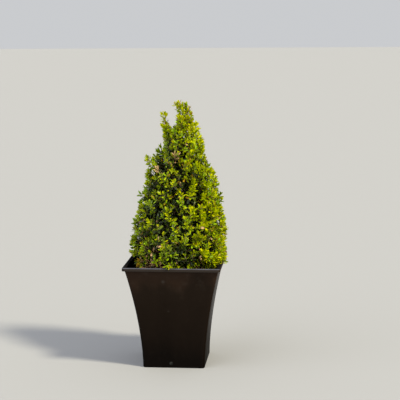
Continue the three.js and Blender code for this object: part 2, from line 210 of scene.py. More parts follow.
# How far from the end of a leaf's luck it becomes a tone darker, or a tone lighter, than its sprig
ODD_LEAVES = Values(darker=0.24, lighter=0.42)
DARKER = dict(yellow="fresh", fresh="mid", lime="olive", green="mid", mid="dark")
LIGHTER = dict(mid="fresh", green="fresh", fresh="yellow", lime="yellow", olive="lime")
# The share of sprigs that turn bronze, and of withered ones that are brown
ODD_SPRIGS = Values(bronze=0.002, brown=0.7)
# The share of yellow sprigs: the least, and how it grows with the light, which is painted sunlight
YELLOW = Values(least=0.16, gain=0.54, power=1.3)

# Outer leaves from this much sun take warmer tones, as painted sunlight, that are also less glossy
SUNLIT = dict(fresh="lime", mid="olive", dark="olive")
SUNLIT_FROM = 0.5
# The share of greener sprigs on the shady side, how much smaller it is in full sun, and where it
# starts in a sprig's luck
GREENER = Values(share=0.44, sun_loss=0.2, start=0.3)

# Twigs that have died off low on the front left, and places with withered sprigs
DEAD_TWIGS = Values(
    count=46, azimuths=(-150, -104), heights=(262, 289), inset=(3, 34), size=(0.7, 1.0),
    length=(24, 40), drop=(0, 14), loose=7, tones="brown dead dark bronze mid fresh",
    middle=0.6, radius=1.1, pairs=3,
)
WITHERED_PLACES = named("azimuth z reach share", (-97, 570, 22, 0.3), (-120, 292, 24, 0.14))
FALLEN_LEAVES = Values(count=120, size=(0.7, 1.0), tones="dead brown brown bronze mid")

# The sunny side of the plant takes more yellow-green leaves: painted sunlight.
SUN_SIDE = Vector((0.92, -0.15, 0.35)).normalized()

# The colour and shine of each tone of leaf
TONES = dict(
    yellow=((0.54, 0.57, 0.001), 0.02),
    fresh=((0.37, 0.465, 0.0015), 0.24),
    lime=((0.34, 0.425, 0.001), 0.02),
    olive=((0.19, 0.24, 0.001), 0.04),
    green=((0.29, 0.47, 0.004), 0.3),
    mid=((0.158, 0.224, 0.006), 0.34),
    dark=((0.031, 0.051, 0.007), 0.48),
    bronze=((0.40, 0.25, 0.012), 0.2),
    dead=((0.66, 0.43, 0.22), 0.1),
    brown=((0.25, 0.15, 0.065), 0.1),
)


def seeded(seed):
    """A repeatable source of numbers from 0 to 1, as in the part's source."""
    mask = 0xFFFFFFFF
    state = seed & mask

    def draw():
        nonlocal state
        state = (state + 0x6D2B79F5) & mask
        mixed = ((state ^ (state >> 15)) * (state | 1)) & mask
        mixed ^= (mixed + (mixed ^ (mixed >> 7)) * (mixed | 61)) & mask
        return ((mixed ^ (mixed >> 14)) & mask) / 2**32

    return draw


def lerp(low, high, share):
    return low + (high - low) * share


def between(limits, draw):
    return lerp(limits[0], limits[1], draw())


def either_way(amount, draw):
    """A number from minus the amount to plus the amount."""
    return (2 * draw() - 1) * amount


def smoothstep(value, low, high):
    share = min(max((value - low) / (high - low), 0), 1)
    return share * share * (3 - 2 * share)


# Meshes


class Shapes:
    """Corners, in millimetres, and triangles gathered for one joined mesh."""

    def __init__(self):
        self.corners = []
        self.triangles = []
        self.count = 0

    def add(self, corners, triangles):
        corners = np.asarray(corners, float).reshape(-1, 3)
        self.corners.append(corners)
        self.triangles.append(np.asarray(triangles, int).reshape(-1, 3) + self.count)
        self.count += len(corners)

    def piece(self, name, material, smooth=True):
        corners = np.concatenate(self.corners)
        triangles = np.concatenate(self.triangles)
        return mesh_piece(name, corners, triangles, material, smooth)


def put(name, data):
    """A new object of the scene."""
    made = bpy.data.objects.new(name, data)
    bpy.context.scene.collection.objects.link(made)
    return made


def mesh_piece(name, corners, triangles, material, smooth=True):
    mesh = bpy.data.meshes.new(name)
    mesh.vertices.add(len(corners))
    mesh.vertices.foreach_set("co", (np.asarray(corners, np.float32) * MM).ravel())
    mesh.loops.add(3 * len(triangles))
    mesh.loops.foreach_set("vertex_index", np.asarray(triangles, np.int32).ravel())
    mesh.polygons.add(len(triangles))
    mesh.polygons.foreach_set("loop_start", np.arange(0, 3 * len(triangles), 3, dtype=np.int32))
    mesh.update(calc_edges=True)
    mesh.polygons.foreach_set("use_smooth", np.full(len(triangles), smooth))
    mesh.materials.append(material)
    return put(name, mesh)


def sharpen(piece, degrees):
    """Marks the edges that bend more than an angle as sharp."""
    edit = bmesh.new()
    edit.from_mesh(piece.data)
    for edge in edit.edges:
        edge.smooth = len(edge.link_faces) == 2 and edge.calc_face_angle(0) < math.radians(degrees)
    edit.to_mesh(piece.data)
    edit.free()


def around(count):
    """The cosine and sine of angles spaced evenly round a circle."""
    angles = [2 * math.pi * k / count for k in range(count)]
    return [(math.cos(angle), math.sin(angle)) for angle in angles]


def wall(rings, count):
    """Triangles between each ring of corners and the next."""
    triangles = []
    for ring in range(rings - 1):
        for i in range(count):
            a, b = ring * count + i, ring * count + (i + 1) % count
            triangles += [(a, b, b + count), (a, b + count, a + count)]
    return triangles


def tube(path, radii, sides):
    """A closed tube along a path, its corners and triangles."""
    points = [Vector(p) for p in path]
    corners = []
    side = None
    for i, point in enumerate(points):
        ahead = points[min(i + 1, len(points) - 1)] - points[max(i - 1, 0)]
        ahead.normalize()
        if side is None:
            side = ahead.cross(UP if abs(ahead.z) < 0.95 else Vector((1, 0, 0)))
        side = (side - ahead * side.dot(ahead)).normalized()
        other = ahead.cross(side)
        corners += [point + (side * cos + other * sin) * radii[i] for cos, sin in around(sides)]
    triangles = wall(len(points), sides)
    last = (len(points) - 1) * sides
    for k in range(1, sides - 1):
        triangles += [(0, k + 1, k), (last, last + k, last + k + 1)]
    return corners, triangles


def loft(rings):
    """A closed skin through rings of points, with a fan over the first and the last."""
    count = len(rings[0])
    triangles = wall(len(rings), count)
    corners = [tuple(p) for ring in rings for p in ring]
    first, last = len(corners), len(corners) + 1
    corners.append(tuple(np.mean(np.array(rings[0], float), axis=0)))
    corners.append(tuple(np.mean(np.array(rings[-1], float), axis=0)))
    top = (len(rings) - 1) * count
    for i in range(count):
        triangles.append((first, (i + 1) % count, i))
        triangles.append((last, top + i, top + (i + 1) % count))
    return corners, triangles


# Materials


def shaded(colour, factor):
    return tuple(channel * factor for channel in colour)


class Skin:
    """A material, built from nodes that lead to its shader."""

    def __init__(self, name, **inputs):
        self.material = bpy.data.materials.new(name)
        self.material.use_nodes = True
        self.shader = self.material.node_tree.nodes["Principled BSDF"]
        self.place = self.node("TexCoord", {}).outputs
        self.set(**inputs)

    def feed(self, node, inputs):
        """Gives inputs of a node their values, or links them to outputs of other nodes."""
        for name, value in inputs.items():
            if isinstance(value, bpy.types.NodeSocket):
                self.material.node_tree.links.new(value, node.inputs[name])
            else:
                node.inputs[name].default_value = value

    def set(self, **inputs):
        """Feeds the shader, with underscores for the spaces in its inputs' names."""
        self.feed(self.shader, {name.replace("_", " "): value for name, value in inputs.items()})

    def node(self, kind, inputs, **options):
        node = self.material.node_tree.nodes.new("ShaderNode" + kind)
        for option, value in options.items():
            setattr(node, option, value)
        self.feed(node, inputs)
        return node

    def noise(self, scale, detail=3.0, stretch=None):
        """A noise pattern in the object's own metres."""
        place = self.place["Object"]
        if stretch:
            place = self.node("Mapping", {"Vector": place, "Scale": stretch}).outputs["Vector"]
        return self.node("TexNoise", {"Vector": place, "Scale": scale, "Detail": detail}).outputs["Fac"]

    def ramp(self, source, stops):
        """A colour ramp from a list of (position, colour)."""
        ramp = self.node("ValToRGB", {"Fac": source})
        elements = ramp.color_ramp.elements
        while len(elements) < len(stops):
            elements.new(0.5)
        for element, (position, colour) in zip(elements, stops):
            element.position = position
            element.color = (*colour, 1)
        return ramp.outputs["Color"]

    def rescale(self, source, low, high, start=0.0, end=1.0):
        """From low to high, while the source goes from start to end."""
        limits = {"From Min": start, "From Max": end, "To Min": low, "To Max": high}
        return self.node("MapRange", {"Value": source, **limits}).outputs["Result"]

    def combine(self, operation, *sources):
        """One step of arithmetic on numbers or outputs."""
        return self.node("Math", dict(enumerate(sources)), operation=operation).outputs[0]

    def mix(self, share, below, colour):
        """A colour laid over another by a share."""
        inputs = {"Factor": share, "A": below, "B": (*colour, 1)}
        return self.node("Mix", inputs, data_type="RGBA").outputs["Result"]

    def axes(self, vector):
        return self.node("SeparateXYZ", {"Vector": vector}).outputs

    def relief(self, height, strength, distance):
        """Bumps, laid over any relief that the skin has."""
        inputs = {"Height": height, "Strength": strength, "Distance": distance}
        for link in self.shader.inputs["Normal"].links:
            inputs["Normal"] = link.from_socket
        self.set(Normal=self.node("Bump", inputs).outputs["Normal"])


def leaf_material(name, colour, shine=0.24, glow=0.12):
    """Leathery leaf skin: mottled colour, fine veins and a waxy gloss."""
    skin = Skin(name, Specular_IOR_Level=shine)
    colours = [(0.3, shaded(colour, 0.72)), (0.7, shaded(colour, 1.22))]
    skin.set(Base_Color=skin.ramp(skin.noise(160, 2), colours))
    skin.set(Roughness=skin.rescale(skin.noise(420, 2), 0.22, 0.44))
    skin.relief(skin.noise(900, 2), 0.25, 0.0003)
    if glow:
        skin.set(Subsurface_Weight=glow, Subsurface_Radius=(0.6, 1.0, 0.15), Subsurface_Scale=0.002)
    return skin.material


def bark_material(name, pale, deep, scale=1.0):
    skin = Skin(name, Roughness=0.88)
    furrows = skin.noise(130 * scale, 6, stretch=(1, 1, 0.25))
    skin.set(Base_Color=skin.ramp(furrows, [(0.32, deep), (0.52, pale), (0.75, shaded(pale, 1.35))]))
    skin.relief(furrows, 0.7, 0.001)
    return skin.material


def planter_material(name):
    """Black-brown plastic with smears and blotches. It is paler upwards as a painted reflection, its front
    lip has dust with a painted sky reflection, and its upward faces and inside carry painted shade.
    """
    skin = Skin(name)
    smears = skin.noise(14, 5, stretch=(1, 1, 0.45))
    place = skin.axes(skin.place["Object"])
    facing = skin.axes(skin.place["Normal"])

    # Paler upwards and darker towards the foot: a painted reflection of the ground
    rise = skin.rescale(place["Z"], 0, 1, 0.02, 0.262)
    share = skin.rescale(skin.combine("MULTIPLY_ADD", smears, 0.65, rise), 0, 1, 0.075, 1.575)
    stops = [(0.167, (0.0030, 0.0017, 0.0010)), (0.33, (0.0068, 0.0039, 0.0022))]
    stops += [(0.572, (0.0110, 0.0065, 0.0037)), (0.70, (0.0138, 0.0084, 0.0050))]
    stops += [(0.817, (0.0275, 0.0152, 0.0090))]
    plastic = skin.ramp(share, stops)

    patches = skin.rescale(skin.noise(60, 4), 0, 0.5, 0.54, 0.72)
    high = skin.rescale(place["Z"], 0.05, 0.5, 0.18, 0.25)
    blotched = skin.mix(skin.combine("MULTIPLY", patches, high), plastic, (0.052, 0.040, 0.031))
    for centre, reach in SCUFFS:
        away = skin.node("VectorMath", {0: skin.place["Object"], 1: centre}, operation="DISTANCE")
        spot = skin.rescale(away.outputs["Value"], 0.5, 0, 0.2 * reach, reach)
        blotched = skin.mix(spot, blotched, (0.060, 0.052, 0.045))

    front = skin.rescale(place["Y"], 1, 0.05, -0.122, -0.116)
    lip = skin.rescale(place["Z"], 0, 1, 0.2612, 0.2624)
    worn = skin.mix(skin.combine("MULTIPLY", lip, front), blotched, (0.033, 0.026, 0.022))
    # Faces that look upwards are made near-black: painted shade
    level = skin.rescale(facing["Z"], 0, 1, 0.2, 0.8)
    painted_shade_on_tops = skin.mix(level, worn, (0.006, 0.005, 0.0045))
    # The front lip's top takes dust with a painted sky reflection
    uneven = skin.rescale(skin.noise(45, 3), 0.7, 1.0, 0.35, 0.6)
    dust_and_reflection_share = skin.combine("MULTIPLY", skin.combine("MULTIPLY", level, front), uneven)
    dust_and_painted_sky_reflection = skin.mix(dust_and_reflection_share, painted_shade_on_tops, (0.118, 0.120, 0.155))

    # The inside is made near-black: painted shade
    out = {0: skin.place["Object"], 1: skin.place["Normal"]}
    outwards = skin.node("VectorMath", out, operation="DOT_PRODUCT").outputs["Value"]
    inside = skin.rescale(outwards, 1, 0, -0.03, -0.01)
    skin.set(Base_Color=skin.mix(inside, dust_and_painted_sky_reflection, (0.0035, 0.0028, 0.0022)))

    skin.set(Roughness=skin.rescale(smears, 0.22, 0.42, 0.3, 0.75))
    sideways = skin.rescale(skin.combine("ABSOLUTE", facing["X"]), 0, 0.975, 0.4, 0.85)
    skin.set(Specular_IOR_Level=skin.rescale(skin.combine("MAXIMUM", level, sideways), 0.06, 0.0))
    skin.relief(skin.noise(9, 2), 0.25, 0.004)
    skin.relief(skin.noise(260, 4), 0.12, 0.0002)
    return skin.material


def boss_material(name):
    """Scuffed grey plastic."""
    skin = Skin(name, Roughness=0.5, Specular_IOR_Level=0.1)
    scuffs = skin.noise(170, 4)
    skin.set(Base_Color=skin.ramp(scuffs, [(0.4, (0.007, 0.007, 0.006)), (0.62, (0.034, 0.034, 0.030))]))
    skin.relief(scuffs, 0.2, 0.0003)
    return skin.material


def compost_material(name, pale, deep):
    skin = Skin(name, Roughness=0.95)
    crumbs = skin.noise(210, 6)
    skin.set(Base_Color=skin.ramp(crumbs, [(0.3, deep), (0.55, pale), (0.8, shaded(pale, 1.6))]))
    skin.relief(crumbs, 1.0, 0.002)
    return skin.material


# The rule of growth


def place_of(along, z, behind):
    """A place given along the shoot plane, in height, and behind the plane."""
    cos, sin = math.cos(SHOOT_PLANE_ANGLE), math.sin(SHOOT_PLANE_ANGLE)
    return Vector((along * cos - behind * sin, along * sin + behind * cos, z))


def axis_at(z):
    return place_of(LEAN.offset + (z - LEAN.start) * LEAN.per_height, z, 0)


def planter_half_width(z):
    share = min(z / (PLANTER.height - PLANTER.lip_height), 1)
    flare = (PLANTER.mouth - PLANTER.foot) / 2
    return PLANTER.foot / 2 + flare * share ** PLANTER.flare_power


def cone_radius(z):
    rise = (z - CONE.base) / (CONE.apex - CONE.base)
    low = max(1 - (z - CONE.base) / CONE.skirt_round, 0)
    return CONE.widest * (1 - rise * rise) * math.sqrt(1 - CONE.skirt_tuck * low * low)


def even_heights(count, lowest, highest):
    """Heights that share the clipped surface out evenly among a number of shoots."""
    heights = np.linspace(lowest, highest, 201)
    radii = np.array([cone_radius(z) for z in heights])
    slants = np.hypot(np.diff(heights), np.diff(radii))
    areas = np.concatenate([[0], np.cumsum((radii[1:] + radii[:-1]) / 2 * slants)])
    wanted = (np.arange(count) + 0.5) / count * areas[-1]
    return np.interp(wanted, areas, heights)


def bend(start, middle, tip, count):
    """Places along a smooth curve from a start towards a middle and on to a tip."""
    places = []
    for i in range(count + 1):
        u = i / count
        places.append(start * (1 - u) ** 2 + middle * (2 * u * (1 - u)) + tip * u * u)
    return places


def through(start, turn, tip, count):
    """Places along a smooth curve that passes through its turn."""
    share = (turn - start).length / ((turn - start).length + (tip - turn).length)
    middle = (turn - start * (1 - share) ** 2 - tip * share**2) / (2 * share * (1 - share))
    return bend(start, middle, tip, count)


def place_back(path, back):
    """The place and direction on a path at a distance back from its tip, or None past its start."""
    left = back
    for i in range(len(path) - 1, 0, -1):
        step = path[i] - path[i - 1]
        if left <= step.length:
            return path[i] - step.normalized() * left, step.normalized()
        left -= step.length
    return None


def fork_path(group, fork, count):
    """Places along one fork of a group of shoots."""
    return through(*(place_of(*p) for p in (group.start, fork.turn, fork.tip)), count)


def group_places(group):
    return np.array([place for fork in group.forks for place in fork_path(group, fork, 16)])


LEADER_PLACES = group_places(LEADER)
HIGH_SHOOT_PLACES = group_places(HIGH_SHOOT)


def clear_of_limbs(point):
    """Clear of the compost, the planter's walls and its rim."""
    if point.z < COMPOST.top + LEAF_GAPS.near:
        return False
    reach = max(abs(point.x), abs(point.y))
    inside = planter_half_width(point.z) - PLANTER.wall - LEAF_GAPS.near
    above = point.z > PLANTER.height + LEAF_GAPS.near
    return above or reach < inside or reach > PLANTER.rim / 2 + LEAF_GAPS.past_rim


def in_cone_space(point):
    """Outside the spaces of the groups at the top."""
    spot = np.array(point)
    to_leader = np.linalg.norm(LEADER_PLACES - spot, axis=1).min()
    to_high_shoot = np.linalg.norm(HIGH_SHOOT_PLACES - spot, axis=1).min()
    leader_space, high_space = (SPACE_SHARE * group.space for group in (LEADER, HIGH_SHOOT))
    return to_leader > leader_space and to_high_shoot > high_space


def azimuth_of(point):
    """The compass place of a point round the plant's axis, in degrees, 0 along +X."""
    middle = axis_at(point.z)
    return math.degrees(math.atan2(point.y - middle.y, point.x - middle.x))


def outward(azimuth):
    return Vector((math.cos(azimuth), math.sin(azimuth), 0))


def in_thin_front(point):
    aside = abs(azimuth_of(point) - THIN_FRONT.azimuth)
    return point.z < THIN_FRONT.below and aside < THIN_FRONT.spread


def surface_at(azimuth, z, inset=0):
    """A place on the clipped surface, or as far in from it as the inset."""
    return axis_at(z) + outward(azimuth) * (cone_radius(z) - inset)


def nearness(places, azimuth, z):
    """How near the surface at an azimuth and height is to the nearest of some places, 0 to 1, and which."""
    here = surface_at(azimuth, z)
    share, nearest = 0.0, None
    for place in places:
        away = (here - surface_at(math.radians(place.azimuth), place.z)).length
        level = 1 - (away / place.reach) ** 2
        if level > share:
            share, nearest = level, place
    return share, nearest


def thinness(azimuth, z):
    """How thin the growth is at a place of the surface, from 0 to 1, and how far it sinks."""
    share, place = nearness(THIN_PLACES, azimuth, z)
    return share, share * place.depth if place else 0.0


def share_at(change, z):
    """A share that goes from low to high between two heights."""
    return lerp(change.low, change.high, smoothstep(z, change.start, change.end))


class Growth:
    """Twigs and leaves as they grow: leaf rows by tone, and twig tubes."""

    def __init__(self, seed):
        self.draw = seeded(seed)
        self.leaves = {tone: [] for tone in TONES}
        self.inner_leaves = dict(shade=[], litter=[])
        self.twigs = Shapes()

    def spread_out(self, amount):
        return Vector([either_way(amount, self.draw) for _ in range(3)])

    def leaf(self, place, along, across, size, tone, inner=False):
        upper = across.cross(along).normalized()
        across = along.cross(upper).normalized()
        length = LEAF.length * size
        luck = self.draw()
        if not inner and luck < share_at(WITHERED, place.z):
            tone = "dead"
        elif not inner and luck > 1 - share_at(BRONZED, place.z):
            tone = "bronze"
        elif luck > 1 - ODD_LEAVES.darker:
            tone = DARKER.get(tone, tone)
        elif luck > 1 - ODD_LEAVES.lighter:
            tone = LIGHTER.get(tone, tone)
        if not clear_of_limbs(place) or not clear_of_limbs(place + along * length):
            return
        fold = between(LEAF.fold, self.draw)
        curl = between(LEAF.curl, self.draw)
        width = length * LEAF.width * between(LEAF.width_spread, self.draw)
        row = (*place, *along, *across, *upper, length, width, fold, curl)
        if inner:
            old = luck < share_at(OLD_INSIDE, place.z)
            self.inner_leaves["litter" if old else "shade"].append(row)
        else:
            self.leaves[tone].append(row)

    def pair(self, place, direction, turn, spread, size, tone, inner=False):
        """A pair of opposite leaves, as in the part's source, each a little out of line."""
        sideways = direction.cross(UP)
        if sideways.length < 1e-3:
            sideways = Vector((1, 0, 0))
        sideways.normalize()
        sideways = Matrix.Rotation(turn, 3, direction) @ sideways
        for side in (1, -1):
            out = sideways * side
            along = direction * math.cos(spread) + out * math.sin(spread)
            along = (along + self.spread_out(LEAF.loose_along)).normalized()
            across = (out.cross(direction) + self.spread_out(LEAF.loose_across)).normalized()
            grown = size * between(LEAF.size_spread, self.draw)
            self.leaf(place, along, across, grown, tone, inner)

    def sprig(self, path, radius, pairs, tone_of, size=1.0, inner=False):
        """A twig along a path, with pairs of leaves from its tip backwards."""
        radii = np.linspace(radius, TWIG.end_radius, len(path))
        self.twigs.add(*tube(path, radii, 4 if radius > TWIG.round_from else 3))
        turn = self.draw() * math.pi
        for index in range(pairs):
            kept = min(index, len(PAIRS.back) - 1)
            back = PAIRS.back[kept] + PAIRS.step * (index - kept)
            found = place_back(path, back * size + PAIRS.offset)
            if found is None:
                break
            spread = math.radians(PAIRS.spread[kept] + either_way(PAIRS.loose_spread, self.draw))
            quarter = turn + index * math.pi / 2 + either_way(PAIRS.loose_turn, self.draw)
            grown = PAIRS.size[kept] * size
            self.pair(*found, quarter, spread, grown, tone_of(index), inner)


def sunniness(out, z):
    return out.dot(SUN_SIDE) + share_at(SUN_TOP, z)


def dead_share(tip):
    """The share of sprigs that have withered, larger low down and at a few places."""
    share = share_at(FRONT_DEAD if in_thin_front(tip) else LOW_DEAD, tip.z)
    for place in WITHERED_PLACES:
        if (tip - surface_at(math.radians(place.azimuth), place.z)).length < place.reach:
            share = max(share, place.share)
    return share


def tone_rule(draw, sunny, layer, withered=LOW_DEAD.high, full=0.0):
    """Which tone each pair of a sprig takes, from how sunny and full its place is and how deep it sits."""
    luck = draw()
    odd = draw()
    # Sun and fullness make a sprig's tones yellower, as painted sunlight; deep and shady sprigs take darker
    # tones, partly older leaves and partly painted shade
    light = sunny + FULL_GROWTH.light * full
    yellow_share = YELLOW.least + YELLOW.gain * max(light, 0) ** YELLOW.power
    tip = "yellow" if luck < yellow_share else "fresh"
    green_share = GREENER.share - GREENER.sun_loss * max(min(sunny, 1), 0)

    def tone_of(pair):
        tone = plain_tone_of(pair)
        if tone == "fresh" and 0 < odd - GREENER.start < green_share:
            return "green"
        return SUNLIT.get(tone, tone) if sunny > SUNLIT_FROM and layer == "outer" else tone

    def plain_tone_of(pair):
        if odd < withered and pair >= 1:
            return "brown" if odd < ODD_SPRIGS.brown * withered else "dead"
        if odd > 1 - ODD_SPRIGS.bronze and pair >= 1:
            return "bronze"
        if layer == "inner":
            return "dark"
        if layer == "middle" and pair < 2 and luck < 0.4 + 0.5 * light:
            return "fresh" if light > 0.6 else "mid"
        if layer == "middle":
            return "mid" if luck < light - 0.2 else "dark"
        if pair < 2:
            return tip
        if pair == 2:
            return tip if luck < light - 0.6 else "fresh"
        if pair == 3:
            return "fresh" if luck < 0.35 + 0.7 * light else "mid"
        if luck < light - 0.5:
            return "fresh"
        return "mid" if luck < 0.25 + 0.6 * light else "dark"

    return tone_of


def main_shoots():
    """The main shoots of the clipped surface: start, tip and outward direction of each."""
    draw = seeded(SEEDS.main_shoots)
    shoots = []
    for index, z in enumerate(even_heights(SHOOTS.count, CONE.base, SHOOTS.top)):
        azimuth = index * GOLDEN_ANGLE
        out = outward(azimuth)
        lift = lerp(*SHOOTS.lift, smoothstep(z, CONE.base, CONE.base + SHOOTS.lift_over))
        jitter = [either_way(SHOOTS.jitter, draw) for _ in range(3)]
        direction = Vector((out.x + jitter[0], out.y + jitter[1], lift + jitter[2])).normalized()
        inset = between(SHOOTS.inset, draw)
        # The source draws twice more here, for the size and the turn of its own leaves.
        draw()
        draw()
        tip = surface_at(azimuth, z, inset)
        if in_cone_space(tip):
            start = tip - direction * SHOOTS.length
            shoots.append(Values(start=start, tip=tip, out=out, azimuth=azimuth, z=z))
    return shoots


def grow_main_sprigs(growth, shoots):
    """The leafy ends of the main shoots."""
    draw = growth.draw
    kind = MAIN_SPRIG
    for shoot in shoots:
        start, tip, out = shoot.start, shoot.tip, shoot.out
        if in_thin_front(tip) and draw() < THIN_FRONT.main_share:
            continue
        thin, sink = thinness(shoot.azimuth, shoot.z)
        end = tip + out * (between(kind.past, draw) - sink) + UP * between(kind.rise, draw)
        middle = start.lerp(tip, kind.middle) - UP * kind.sag
        layer = "middle" if thin > DARK.thin else "outer"
        tone_of = tone_rule(draw, sunniness(out, shoot.z), layer)
        path = bend(start, middle, end, 6)
        growth.sprig(path, kind.radius, kind.pairs, tone_of, between(kind.size, draw))


def grow_layers(growth, shoots):
    """Sprigs that branch from the nearest main shoot and fill the clipped surface, layer by layer."""
    draw = growth.draw
    kind = LAYER_SPRIG
    tips = np.array([s.tip for s in shoots])
    for number, layer in enumerate(LAYERS):
        heights = even_heights(layer.count, CONE.base - kind.below, SHOOTS.top)
        for index, z in enumerate(heights):
            azimuth = index * GOLDEN_ANGLE + number * kind.turn + either_way(kind.loose_turn, draw)
            out = outward(azimuth)
            sunny = sunniness(out, z)
            surface = np.array(surface_at(azimuth, z))
            gaps = np.linalg.norm(tips + np.array(out) * CLUMPS.past_tip - surface, axis=1)
            nearest = int(gaps.argmin())
            full = nearness(FULL_PLACES, azimuth, z)[0]
            hollow = layer.hollow * min(gaps[nearest] / CLUMPS.radius, CLUMPS.most) ** 2
            hollow *= 1 - max(min(sunny, 1), 0)
            hollow *= 1 - full
            thin, sink = thinness(azimuth, z)
            inset = between(layer.inset, draw) + hollow + sink - FULL_GROWTH.proud * full
            tip = axis_at(z + between(kind.rise, draw)) + out * (cone_radius(z) - inset)
            too_deep = cone_radius(z) < inset + kind.off_axis
            if too_deep or not in_cone_space(tip) or not clear_of_limbs(tip):
                continue
            shoot = shoots[nearest]
            stem = shoot.start - shoot.tip
            root = shoot.tip + stem * min(between(layer.back, draw) / stem.length, 1)
            middle = root.lerp(tip, kind.middle) - UP * kind.sag * (tip - root).length
            middle += growth.spread_out(kind.loose)
            if in_thin_front(tip) and draw() < THIN_FRONT.share:
                continue
            name = layer.name
            inner = name == "inner"
            if name == "outer" and thin > DARK.thin and z < DARK.below:
                name = "middle"
            tone_of = tone_rule(draw, sunny, name, dead_share(tip), full)
            size = between(kind.size, draw) * (kind.inner_size if inner else 1)
            growth.sprig(bend(root, middle, tip, 5), kind.radius, layer.pairs, tone_of, size, inner)


def grow_group(growth, group):
    """Long shoots past the clipped surface, with short side sprigs all along them."""
    draw = growth.draw
    kind = GROUP_SPRIG
    for fork in group.forks:
        path = [p for p in fork_path(group, fork, 14) if p.z > GROUP_SHOOT.above]
        tone_of = tone_rule(draw, GROUP_SHOOT.sunny, "outer")
        growth.sprig(path, fork.radius, GROUP_SHOOT.pairs, tone_of)
        length = sum((b - a).length for a, b in zip(path, path[1:]))
        for index in range(group.side_sprigs):
            share = ((index + draw() * kind.loose) / group.side_sprigs) ** kind.crowding
            back = lerp(kind.back[0], length - kind.back[1], share)
            root, direction = place_back(path, back)
            sideways = direction.cross(Vector(kind.aside)).normalized()
            out = Matrix.Rotation(index * GOLDEN_ANGLE + draw(), 3, direction) @ sideways
            reach = lerp(*kind.reach, min(back / length + kind.first_reach, 1))
            reach *= between(kind.reach_spread, draw)
            tip = root + (out * kind.out + direction).normalized() * reach
            path_out = bend(root, root + out * reach * kind.bow, tip, 4)
            tone_of = tone_rule(draw, lerp(*kind.sunny, back / length), "outer")
            growth.sprig(path_out, kind.radius, kind.pairs, tone_of, between(kind.size, draw))


def grow_skirt(growth, shoots):
    draw = growth.draw
    for azimuth, z in low_places(SKIRT):
        if draw() < thinness(azimuth, z)[0]:
            continue
        tip = low_tip(SKIRT, azimuth, z, draw)
        root = min((s.tip for s in shoots), key=lambda place: (place - tip).length)
        tone_of = tone_rule(draw, SKIRT.sunny, "outer")
        path = bend(root, root.lerp(tip, SKIRT.middle) - UP * SKIRT.sag, tip, 5)
        growth.sprig(path, SKIRT.radius, SKIRT.pairs, tone_of, between(SKIRT.size, draw))


def grow_dead_twigs(growth):
    """Bare and withered twigs low on the front, with a few leaves left on them."""
    draw = growth.draw
    kind = DEAD_TWIGS
    tones = kind.tones.split()
    for azimuth, z in low_places(kind):
        tip = low_tip(kind, azimuth, z, draw)
        root = tip - outward(azimuth + draw() - 0.5) * between(kind.length, draw)
        root -= UP * between(kind.drop, draw)
        tone = tones[int(draw() * len(tones))]
        path = bend(root, root.lerp(tip, kind.middle) + growth.spread_out(kind.loose), tip, 6)
        if clear_of_limbs(root) and clear_of_limbs(tip):
            size = between(kind.size, draw)
            growth.sprig(path, kind.radius, kind.pairs, lambda pair, tone=tone: tone, size)


def low_places(kind):
    """Azimuths and heights for twigs in a band low on the plant, from the lowest upwards."""
    for index in range(kind.count):
        share = (index * GOLDEN_ANGLE / (2 * math.pi)) % 1
        azimuth = math.radians(lerp(*kind.azimuths, share))
        yield azimuth, lerp(*kind.heights, (index + 0.5) / kind.count)


def low_tip(kind, azimuth, z, draw):
    """Where such a twig ends: below the skirt's level it reaches out as far as at that level."""
    reach = cone_radius(max(z, SKIRT.level)) - between(kind.inset, draw)
    return axis_at(z) + outward(azimuth) * reach


def grow_strays(growth):
    side = STRAY_SPRIG
    for stray in STRAYS:
        start, tip = place_of(*stray.start), place_of(*stray.tip)
        path = bend(start, start.lerp(tip, 0.5) - UP * stray.sag, tip, 7)
        tone_of = tone_rule(growth.draw, STRAY.sunny, "outer")
        growth.sprig(path, STRAY.radius, STRAY.pairs, tone_of, STRAY.size)
        for index in range(stray.sides):
            root, direction = place_back(path, side.back[0] + side.back[1] * index)
            out = Matrix.Rotation(index * GOLDEN_ANGLE, 3, direction) @ direction.cross(UP).normalized()
            end = root + (out + direction * side.ahead).normalized() * side.reach
            tone_of = tone_rule(growth.draw, side.sunny, "outer")
            path_out = bend(root, root + out * side.bow, end, 4)
            growth.sprig(path_out, side.radius, side.pairs, tone_of, side.size)


# Leaves

LEAF_RIM = [(-0.05, 0), (0.2, 0.56), (0.46, 0.98), (0.73, 0.93), (0.925, 0.5), (0.985, 0)]
LEAF_MIDRIB = [0.28, 0.56, 0.82]


def two_sided(rim, midrib, top):
    """A leaf from its rim, its midrib and the triangles of its upper side; its midrib is doubled."""
    flat = np.array(rim + midrib + midrib, float)
    is_lower = np.arange(len(flat)) >= len(rim) + len(midrib)
    top = np.array(top)
    bottom = np.where(top >= len(rim), top + len(midrib), top)[:, [0, 2, 1]]
    return flat, is_lower, np.concatenate([top, bottom]), len(rim)


def leaf_template():
    """The leaf that shows outside, with 28 faces."""
    rim = [(-w, t) for t, w in LEAF_RIM] + [(w, t) for t, w in LEAF_RIM[-2:0:-1]]
    count = len(rim)
    a, b, c = count, count + 1, count + 2
    left = [(0, a, 1), (1, a, b), (1, b, 2), (2, b, c), (2, c, 3), (3, c, 4), (4, c, 5)]
    right = [[-k % count if k < count else k for k in (i, m, j)] for i, j, m in left]
    return two_sided(rim, [(0, t) for t in LEAF_MIDRIB], left + right)


def simple_leaf_template():
    """The eight-faced leaf of the part's source, for the shade inside."""
    rim = [(0, -0.05), (0, 1), (-1, 0.54), (1, 0.54)]
    return two_sided(rim, [(0, 0.5)], [(0, 4, 2), (2, 4, 1), (0, 3, 4), (4, 3, 1)])


